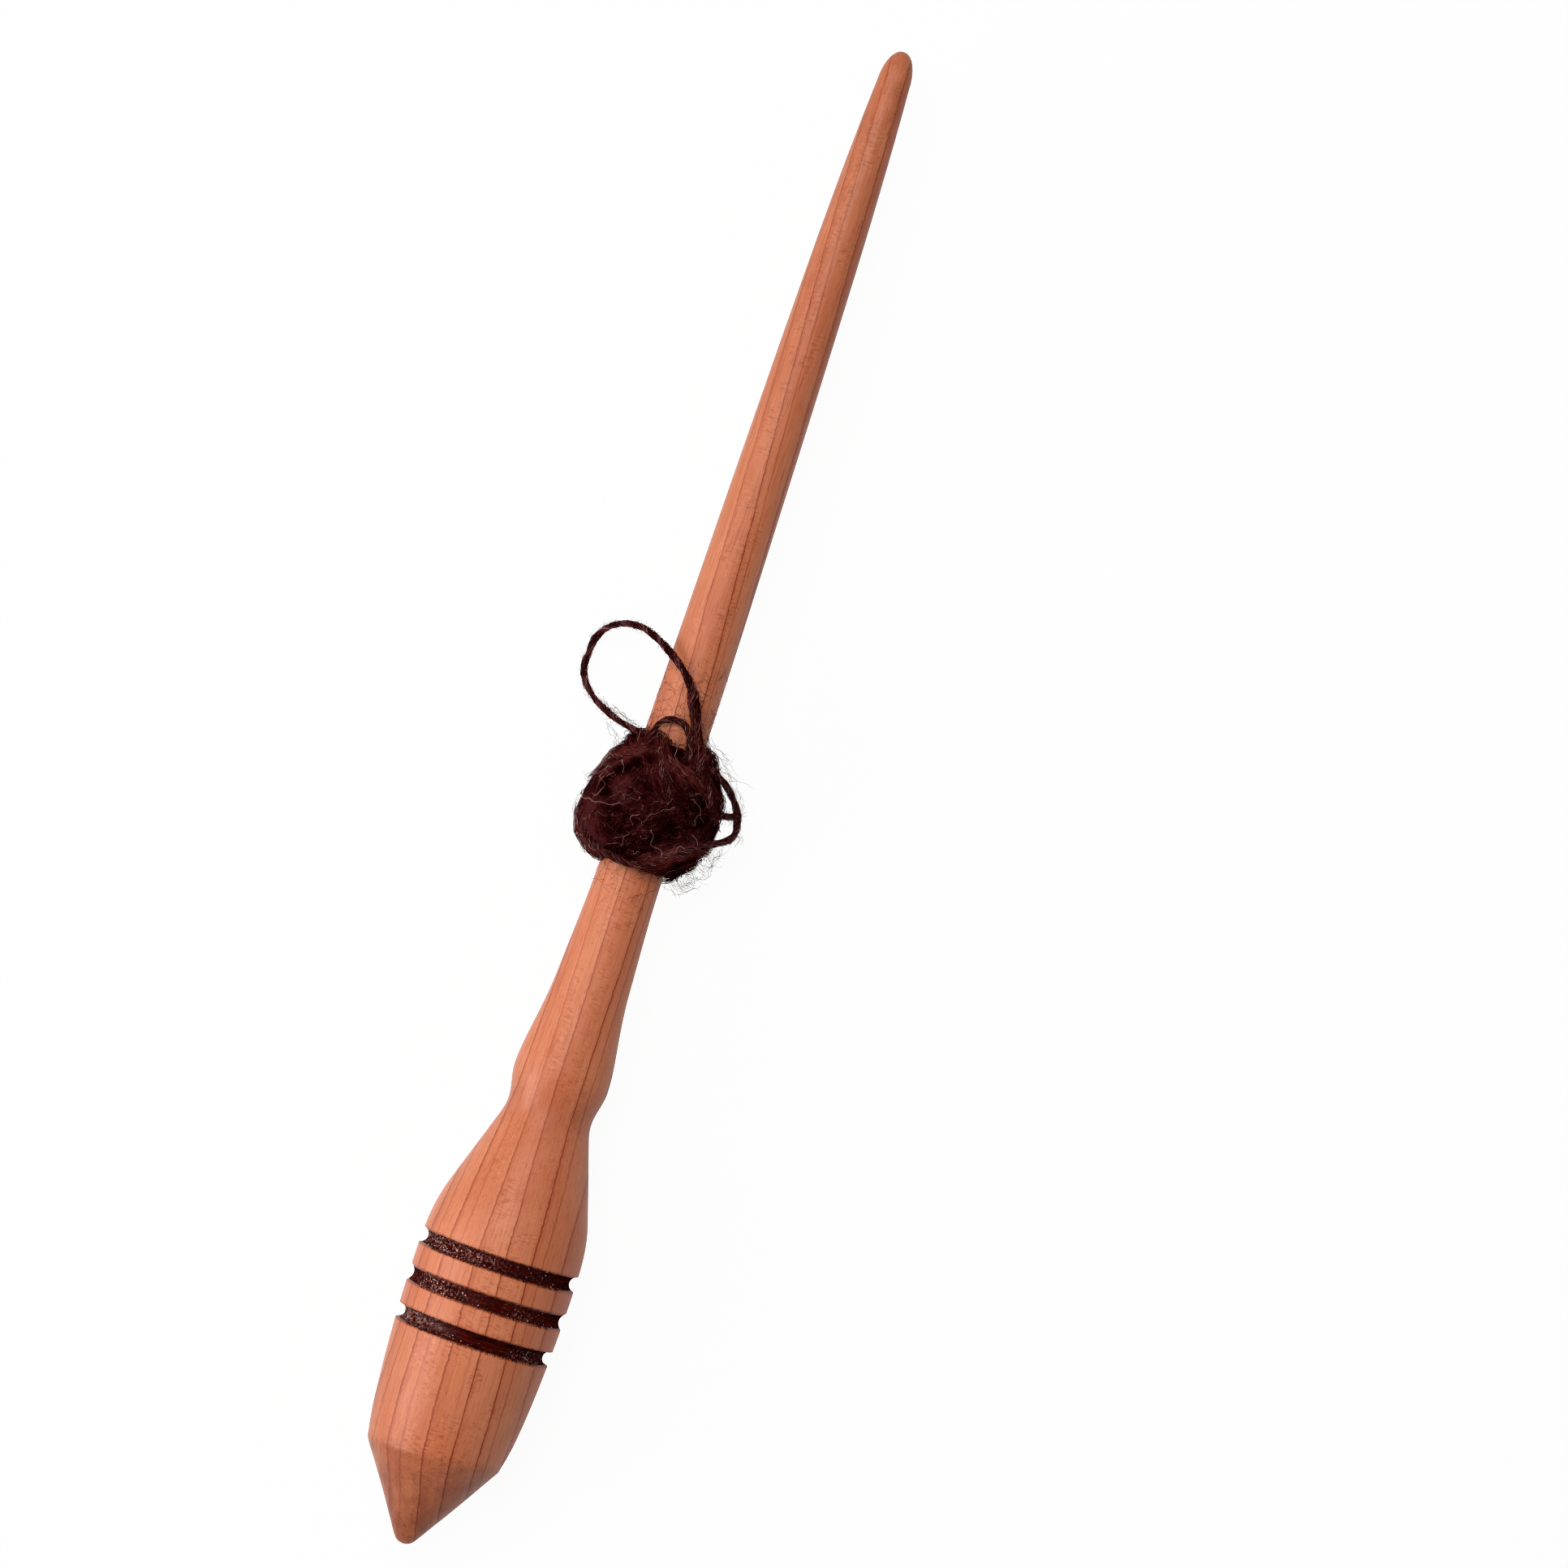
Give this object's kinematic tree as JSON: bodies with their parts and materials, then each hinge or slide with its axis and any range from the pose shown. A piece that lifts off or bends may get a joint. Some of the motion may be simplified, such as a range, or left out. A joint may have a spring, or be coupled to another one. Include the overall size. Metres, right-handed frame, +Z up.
{
  "type": "support spindle",
  "caption": "Point-down wooden hand spindle with a grooved belly, a knuckle above the neck, a long tapered shaft and a small cop of dark wool that slides off the shaft end.",
  "frame": {"origin": "on the surface that the spindle lies on, under the middle of its length", "axes": "+X along the spindle from the spin tip to the shaft end, +Z up from the surface, +Y to the side on which the large yarn loop lies"},
  "size_m": [0.3, 0.0406, 0.031],
  "materials": {
    "fruitwood": "fine-grained reddish fruitwood, turned, sanded and lightly oiled, with burnt dark grooves",
    "dark_wool": "dark brown handspun wool singles, loose and hairy"
  },
  "bodies": {
    "spindle": {"turned_spindle": "fruitwood"},
    "yarn": {"wound_cop": "dark_wool", "large_loop": "dark_wool", "arch_loop": "dark_wool", "side_loop": "dark_wool", "inner_side_loop": "dark_wool"}
  },
  "joints": [
    {"name": "cop_slide", "type": "slide", "parent": "spindle", "child": "yarn", "axis": [1, 0, 0], "range_m": [0, 0.165]}
  ]
}
